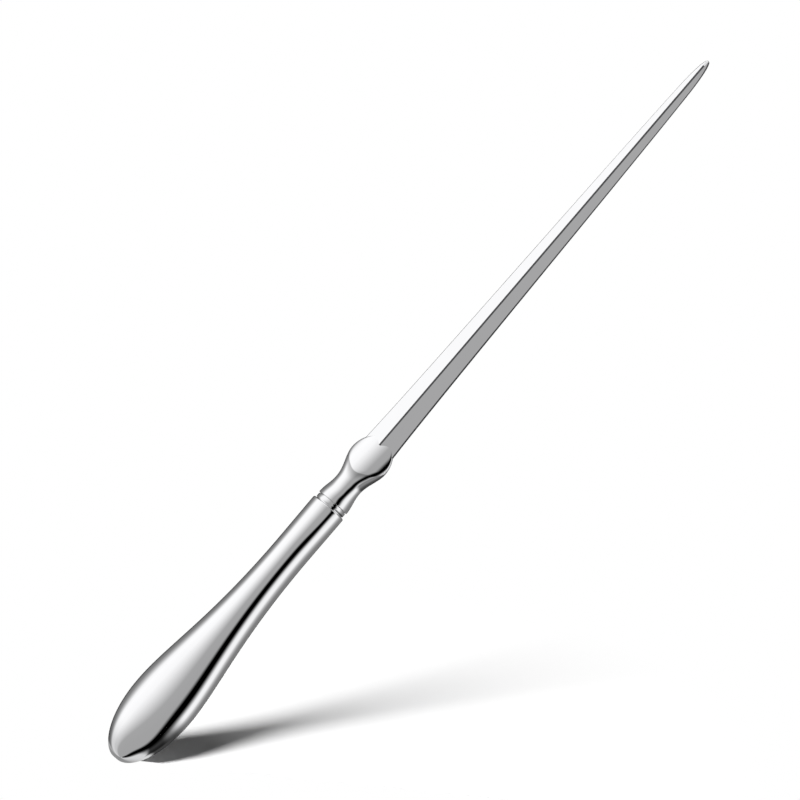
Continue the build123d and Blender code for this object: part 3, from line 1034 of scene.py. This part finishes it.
@dataclass
class Studio:
    """White sheet under a soft lamp, and panels, a black flag and a card for the steel to mirror."""

    handle: HollowHandle
    side_turn: float = math.radians(20.0)
    panel_level: float = 1.22
    ambient: float = 0.055
    floor_tone: float = 0.86
    floor_grain: float = 0.01
    floor_reach: float = 3.0
    floor_normal: tuple[float, float, float] = (0.72, 0.46, 0.52)
    floor_gap: float = 0.1 * MM
    floor_start: float = 1.7 * MM
    floor_side: tuple[float, float] = (-3.0 * MM, 3.0 * MM)
    floor_fade: tuple[float, float] = (25.0 * MM, 160.0 * MM)
    key_lean: tuple[float, float, float] = (0.0, 0.2, 1.0)
    key_spread: float = math.radians(19.0)
    key_power: float = 4.1
    flag_radius: float = 60.0 * MM
    flag_ends: tuple[float, float] = (-500.0 * MM, 40.0 * MM)
    flag_end_fade: float = 15.0 * MM
    flag_span: tuple[float, float] = (-15.0, 80.0)
    flag_grid: tuple[int, int] = (541, 96)
    flag_angle: float = 30.0
    flag_core: float = 7.0
    flag_fade: tuple[float, float] = (12.0, 23.0)
    flag_waist: float = 0.3
    flag_waist_from_mouth: float = 1.0 * MM
    flag_waist_reach: float = 4.5 * MM
    flag_bends: tuple[Bend, ...] = (
        Bend(-132 * MM, 26 * MM, 13),
        Bend(-50 * MM, 17 * MM, -7.5),
        Bend(0, 28 * MM, -8),
    )
    butt_card: Card = Card((-144 * MM, -136 * MM, -120 * MM, -106 * MM), (35, 50, 100, 118), 0.85)
    card_grid: tuple[int, int] = (61, 81)
    slant: tuple[float, float] = (-0.06, 0.58)
    slant_turn: float = 47.0
    slant_from: tuple[float, float] = (-140.0, -40.0)
    slant_until: tuple[float, float] = (12.0, 0.0)
    dimming: tuple[float, float] = (0.15, 0.48)
    dimming_turn: tuple[float, float] = (-20.0, -50.0)
    dimmed: float = 0.34
    gloom: tuple[float, float] = (-0.03, 0.1)
    gloom_turn: tuple[float, float] = (38.0, 55.0)
    gloom_depth: float = 0.75
    glow: tuple[float, float] = (0.31, 0.41)
    glow_turn: tuple[float, float] = (40.0, 58.0)
    end_glow: tuple[float, float] = (0.62, 0.85)
    end_glow_turn: tuple[float, float] = (-95.0, -115.0)
    glow_fall: tuple[float, float] = (0.5, 1.0)
    glow_levels: tuple[float, float] = (0.8, 0.33)
    bands: tuple[LightBand, ...] = (
        LightBand(-180, 0.03),
        LightBand(-156, 0.06),
        LightBand(-142, 0.15),
        LightBand(-118, 0.24),
        LightBand(-105, 0.46),
        LightBand(-90, 0.95),
        LightBand(-80, 1.0),
        LightBand(-58, 0.95),
        LightBand(-45, 0.81),
        LightBand(-15, 0.37),
        LightBand(30, 0.35),
        LightBand(45, 0.75),
        LightBand(60, 0.90),
        LightBand(72, 0.92),
        LightBand(80, 0.78),
        LightBand(90, 0.49),
        LightBand(105, 0.28),
        LightBand(120, 0.20),
        LightBand(148, 0.20),
        LightBand(160, 0.07),
        LightBand(180, 0.03),
    )

    @staticmethod
    def rise(shader: Shader, value: bpy.types.NodeSocket, low: float, high: float) -> bpy.types.NodeSocket:
        """Smooth step of a value: 0 at low, 1 at high.

        Args:
            shader: Node tree to add to.
            value: Socket with the value.
            low: Value at which the step starts.
            high: Value at which it ends, which may be the smaller.

        Returns:
            The step's output socket.
        """
        return shader.node("ShaderNodeMapRange", {"Value": value}, {"From Min": low, "From Max": high},
                           interpolation_type="SMOOTHSTEP").outputs[0]

    def build_world(self) -> None:
        """Panels by a mirrored ray's angle round the long axis, white to the camera, plain to the sheet.

        A ray's rearward lean is minus its x over twice the cosine of half its angle. For rays that lean to
        the rear, the left panel's inner edge slants away and the panel is dimmer, and the right panel is
        gloomy. Rays that lean far to the rear meet a glow on the right and far round to the left, which is
        weaker the further they lean.
        """
        world = bpy.data.worlds.new("studio")
        world.use_nodes = True
        bpy.context.scene.world = world
        shader = Shader(world.node_tree)
        ray = shader.node("ShaderNodeTexCoord").outputs["Generated"]
        facing = (0, -math.sin(self.side_turn), math.cos(self.side_turn))
        right = (0, -math.cos(self.side_turn), -math.sin(self.side_turn))
        ahead = shader.node("ShaderNodeVectorMath", {0: ray}, {1: facing}, operation="DOT_PRODUCT")
        aside = shader.node("ShaderNodeVectorMath", {0: ray}, {1: right}, operation="DOT_PRODUCT")
        turn = shader.math("ARCTAN2", aside.outputs["Value"], ahead.outputs["Value"])
        angle = shader.math("MULTIPLY", turn, math.degrees(1))
        along = shader.node("ShaderNodeSeparateXYZ", {0: ray}).outputs["X"]
        spread = shader.math("MULTIPLY", shader.math("COSINE", shader.math("MULTIPLY", turn, 0.5)), -2.0)
        rearward = shader.math("DIVIDE", along, spread)
        inner = shader.math("MULTIPLY", self.rise(shader, angle, *self.slant_from),
                            self.rise(shader, angle, *self.slant_until))
        slant = shader.math("MULTIPLY", self.rise(shader, rearward, *self.slant), inner)
        slanted = shader.math("MULTIPLY_ADD", slant, self.slant_turn, angle)
        slanted = shader.math("MINIMUM", slanted, shader.math("MAXIMUM", angle, self.slant_until[0]))
        ramp_place = shader.math("MULTIPLY_ADD", slanted, 1 / FULL_TURN, 0.5)
        ramp = shader.node("ShaderNodeValToRGB", {"Fac": ramp_place})
        dim, gloom, glow, end = (
            shader.math("MULTIPLY", self.rise(shader, rearward, *lean), self.rise(shader, place, *turned))
            for lean, place, turned in (
                (self.dimming, slanted, self.dimming_turn),
                (self.gloom, angle, self.gloom_turn),
                (self.glow, angle, self.glow_turn),
                (self.end_glow, angle, self.end_glow_turn),
            )
        )
        glow = shader.math("ADD", glow, end)
        level = shader.math("MULTIPLY", ramp.outputs["Color"], self.panel_level)
        level = shader.math("MULTIPLY", level, shader.math("MULTIPLY_ADD", dim, -self.dimmed, 1.0))
        level = shader.math("MULTIPLY", level, shader.math("MULTIPLY_ADD", gloom, -self.gloom_depth, 1.0))
        fall = shader.node("ShaderNodeMapRange", {"Value": rearward}, dict(zip(
            ("From Min", "From Max", "To Min", "To Max"), (*self.glow_fall, *self.glow_levels))))
        level = shader.node("ShaderNodeMix", {0: glow, 2: level, 3: fall.outputs[0]}).outputs[0]
        stops = ramp.color_ramp.elements
        for number, band in enumerate(self.bands):
            place = (band.angle + FULL_TURN / 2) / FULL_TURN
            stop = stops[number] if number < 2 else stops.new(place)
            stop.position = place
        for stop, band in zip(stops, self.bands):
            stop.color = (band.level, band.level, band.level, 1.0)
        light = shader.node("ShaderNodeLightPath")
        panels = shader.node("ShaderNodeBackground", {"Strength": level})
        plain = shader.node("ShaderNodeBackground", values={"Strength": self.ambient})
        white = shader.node("ShaderNodeBackground", values={"Strength": 1.0})
        for node in (panels, plain, white):
            node.inputs["Color"].default_value = (1, 1, 1, 1)
        mirrored = shader.node("ShaderNodeMixShader", {
            0: light.outputs["Is Glossy Ray"], 1: plain.outputs[0], 2: panels.outputs[0]})
        seen = shader.node("ShaderNodeMixShader", {
            0: light.outputs["Is Camera Ray"], 1: mirrored.outputs[0], 2: white.outputs[0]})
        shader.node("ShaderNodeOutputWorld", {"Surface": seen.outputs[0]})

    def contact(self) -> Vector:
        """Point of the butt that stands on the sheet, as on an ellipsoid with the sizes of the swell.

        It lies from the middle against the sheet's normal, each part of which is multiplied by the square
        of that radius and divided by the length of normal times radii.

        Returns:
            The point.
        """
        normal = Vector(self.floor_normal).normalized()
        radii = (self.handle.swell_from_butt, self.handle.width / 2, self.handle.thickness / 2)
        reach = [radius * part for radius, part in zip(radii, normal)]
        scale = Vector(reach).length
        middle = Vector((self.handle.swell_x, 0, self.handle.axis_z))
        return middle - Vector([radius * part / scale for radius, part in zip(radii, reach)])

    def build_floor(self) -> None:
        """Pale matt sheet that starts just below the butt's foot and falls away under the opener.

        A painted white glow fades its shadow with distance and to the side of the butt away from the
        shadow, and it glows white underneath.
        """
        normal = Vector(self.floor_normal).normalized()
        foot = self.contact() - normal * self.floor_gap
        along = Vector((-normal.y, normal.x, 0)).normalized()
        fall = along.cross(normal)
        corners = [foot + fall * ahead + along * side for ahead, side in (
            (self.floor_start, -self.floor_reach),
            (self.floor_reach, -self.floor_reach),
            (self.floor_reach, self.floor_reach),
            (self.floor_start, self.floor_reach),
        )]
        mesh = bpy.data.meshes.new("sheet")
        mesh.from_pydata(corners, [], [(0, 1, 2, 3)])
        floor = bpy.data.objects.new("sheet", mesh)
        bpy.context.scene.collection.objects.link(floor)
        paper_and_glow = bpy.data.materials.new("paper_with_painted_glow")
        paper_and_glow.use_nodes = True
        shader = Shader(paper_and_glow.node_tree)
        place = shader.node("ShaderNodeTexCoord").outputs["Object"]
        fibres = shader.node("ShaderNodeTexNoise", {"Vector": place}, {"Scale": 900.0, "Detail": 4.0})
        tone = shader.node("ShaderNodeMapRange", {"Value": fibres.outputs["Fac"]},
                           {"To Min": self.floor_tone - self.floor_grain,
                            "To Max": self.floor_tone + self.floor_grain})
        matt = shader.node("ShaderNodeBsdfDiffuse", {"Color": tone.outputs[0]})
        white = shader.node("ShaderNodeEmission", values={"Strength": 1.0})
        away = shader.node("ShaderNodeVectorMath", {0: place}, {1: foot}, operation="DISTANCE")
        fade = shader.node("ShaderNodeMapRange", {"Value": away.outputs["Value"]},
                           {"From Min": self.floor_fade[0], "From Max": self.floor_fade[1]})
        aside = shader.node("ShaderNodeVectorMath", {0: place}, {1: along}, operation="DOT_PRODUCT")
        beside = [along.dot(foot) + reach for reach in self.floor_side]
        side = self.rise(shader, aside.outputs["Value"], *beside)
        under = shader.node("ShaderNodeNewGeometry").outputs["Backfacing"]
        # Painted glow: white emission fades the shadow with distance, beside the butt and underneath
        painted_glow = shader.math("MAXIMUM", shader.math("MAXIMUM", fade.outputs[0], side), under)
        both = shader.node("ShaderNodeMixShader", {0: painted_glow, 1: matt.outputs[0], 2: white.outputs[0]})
        shader.node("ShaderNodeOutputMaterial", {"Surface": both.outputs[0]})
        mesh.materials.append(paper_and_glow)
        floor.visible_glossy = False

    def flag_cover(self, x: Array, angle: Array) -> Array:
        """How much of the wall the flag hides: full in its core, fading to both sides and to its front end.

        The flag is drawn in to a thin waist beside the mouth of the handle, and turned aside at its bends.

        Args:
            x: Places along the length.
            angle: Degrees round the long axis, from the camera's side towards the photo's right.

        Returns:
            Cover from 0 to 1.
        """
        waist = (x - self.handle.mouth_x - self.flag_waist_from_mouth) / self.flag_waist_reach
        width = 1 - self.flag_waist * np.exp(-waist**2)
        lean = sum(bend.turn * np.exp(-(((x - bend.place) / bend.reach) ** 2)) for bend in self.flag_bends)
        offset = (angle - self.flag_angle - lean) / width
        left = (self.flag_core + self.flag_fade[0] + offset) / self.flag_fade[0]
        right = (self.flag_core + self.flag_fade[1] - offset) / self.flag_fade[1]
        end = (self.flag_ends[1] - x) / self.flag_end_fade
        return smooth_step(np.minimum(np.minimum(left, right), end))

    def cloth(self) -> bpy.types.Material:
        """Black cloth as thick as the mesh's cover, clear where that is 0.

        Returns:
            The material.
        """
        cloth = bpy.data.materials.new("black_cloth")
        cloth.use_nodes = True
        shader = Shader(cloth.node_tree)
        cover = shader.node("ShaderNodeAttribute", attribute_name="cover").outputs["Fac"]
        clear = shader.node("ShaderNodeBsdfTransparent")
        black = shader.node("ShaderNodeEmission", values={"Strength": 0.0})
        both = shader.node("ShaderNodeMixShader", {0: cover, 1: clear.outputs[0], 2: black.outputs[0]})
        shader.node("ShaderNodeOutputMaterial", {"Surface": both.outputs[0]})
        return cloth

    def hang(self, name: str, x: Array, angle: Array, cover: Callable[[Array, Array], Array],
             cloth: bpy.types.Material) -> None:
        """Part of a tube round the long axis that only the steel mirrors: radius times sine and cosine.

        Args:
            name: Name of the object.
            x: Places along the length.
            angle: Degrees round the long axis, from the camera's side towards the photo's right.
            cover: How much is hidden at each place and angle.
            cloth: Material of the tube.
        """
        grid_x, grid_angle = np.meshgrid(x, angle, indexing="ij")
        turn = np.radians(grid_angle) + self.side_turn
        y = -self.flag_radius * np.sin(turn)
        z = self.handle.axis_z + self.flag_radius * np.cos(turn)
        points = np.stack([grid_x, y, z], axis=-1)
        index = np.arange(grid_x.size).reshape(grid_x.shape)
        quads = np.stack([index[:-1, :-1], index[1:, :-1], index[1:, 1:], index[:-1, 1:]], axis=-1)
        mesh = bpy.data.meshes.new(name)
        mesh.from_pydata(points.reshape(-1, 3).tolist(), [], quads.reshape(-1, 4).tolist())
        mesh.attributes.new("cover", "FLOAT", "POINT").data.foreach_set(
            "value", cover(grid_x, grid_angle).reshape(-1).astype(np.float32))
        mesh.materials.append(cloth)
        tube = bpy.data.objects.new(name, mesh)
        bpy.context.scene.collection.objects.link(tube)
        tube.visible_camera = False
        tube.visible_diffuse = False
        tube.visible_shadow = False
        tube.visible_transmission = False

    def build_flags(self) -> None:
        """Hang the long black flag, and the card that the butt mirrors."""
        cloth = self.cloth()
        card = self.butt_card
        self.hang("black_flag", np.linspace(*self.flag_ends, self.flag_grid[0]),
                  np.linspace(*self.flag_span, self.flag_grid[1]), self.flag_cover, cloth)
        self.hang("butt_card", np.linspace(card.places[0], card.places[-1], self.card_grid[0]),
                  np.linspace(card.angles[0], card.angles[-1], self.card_grid[1]), card.cover, cloth)

    def build_key(self) -> None:
        """Soft far lamp that throws the shadow down the sheet, half way between its normal and key_lean."""
        lamp = bpy.data.lights.new("key", "SUN")
        lamp.angle = self.key_spread
        lamp.energy = self.key_power
        key = bpy.data.objects.new("key", lamp)
        bpy.context.scene.collection.objects.link(key)
        aim = (Vector(self.floor_normal).normalized() + Vector(self.key_lean)).normalized()
        key.rotation_euler = aim.to_track_quat("Z", "Y").to_euler()
        key.visible_glossy = False

    def build(self) -> None:
        """Set up the whole studio."""
        self.build_world()
        self.build_floor()
        self.build_flags()
        self.build_key()
        bpy.context.scene.view_settings.view_transform = "Standard"


@dataclass
class PhotoCamera:
    """Camera at the photo's viewing angle, placed by where the opener's two ends stand in the frame."""

    axis_z: float
    length: float
    butt_pixel: tuple[float, float] = (116.15, 757.31)
    tip_pixel: tuple[float, float] = (709.2, 60.5)
    frame_pixels: float = 800.0
    side_turn: float = math.radians(20.0)
    pitch: float = math.radians(3.0)
    distance: float = 3.0
    sensor: float = 36.0
    clip: tuple[float, float] = (0.01, 20.0)

    def build(self) -> bpy.types.Object:
        """Place the camera.

        Returns:
            The camera, set as the scene's camera.
        """
        butt = Vector((self.butt_pixel[0], -self.butt_pixel[1]))
        tip = Vector((self.tip_pixel[0], -self.tip_pixel[1]))
        run = (tip - butt).normalized()
        scale = self.length * math.cos(self.pitch) / (tip - butt).length
        back = Vector((-math.sin(self.pitch), -math.sin(self.side_turn) * math.cos(self.pitch),
                       math.cos(self.side_turn) * math.cos(self.pitch)))
        along = (Vector((1, 0, 0)) - back * back.x).normalized()
        across = back.cross(along)
        right = along * run.x - across * run.y
        up = along * run.y + across * run.x
        middle = (butt + tip) / 2 - Vector((self.frame_pixels / 2, -self.frame_pixels / 2))
        target = Vector((0, 0, self.axis_z)) - (right * middle.x + up * middle.y) * scale
        data = bpy.data.cameras.new("photo_camera")
        data.sensor_width = self.sensor
        data.lens = self.sensor * self.distance / (self.frame_pixels * scale)
        data.clip_start = self.clip[0]
        data.clip_end = self.clip[1]
        camera = bpy.data.objects.new("photo_camera", data)
        bpy.context.scene.collection.objects.link(camera)
        turn = Matrix((right, up, back)).transposed().to_4x4()
        camera.matrix_world = Matrix.Translation(target + back * self.distance) @ turn
        bpy.context.scene.camera = camera
        return camera


def main() -> None:
    """Build the pieces in order, then the studio and the camera, and report each piece."""
    logging.basicConfig(level=logging.INFO, format="%(name)s: %(message)s")
    handle = HollowHandle.from_frame()
    for assembly in (handle, CollarRing.from_frame(), BladeForging.from_frame(), CementCore()):
        for piece in assembly.build():
            LOG.info("%s: %d faces", piece.name, len(piece.data.polygons))
    Studio(handle).build()
    camera = PhotoCamera(handle.axis_z, cad_high.x - cad_low.x).build()
    LOG.info("camera: %.1f mm lens", camera.data.lens)


if __name__ == "__main__":
    main()
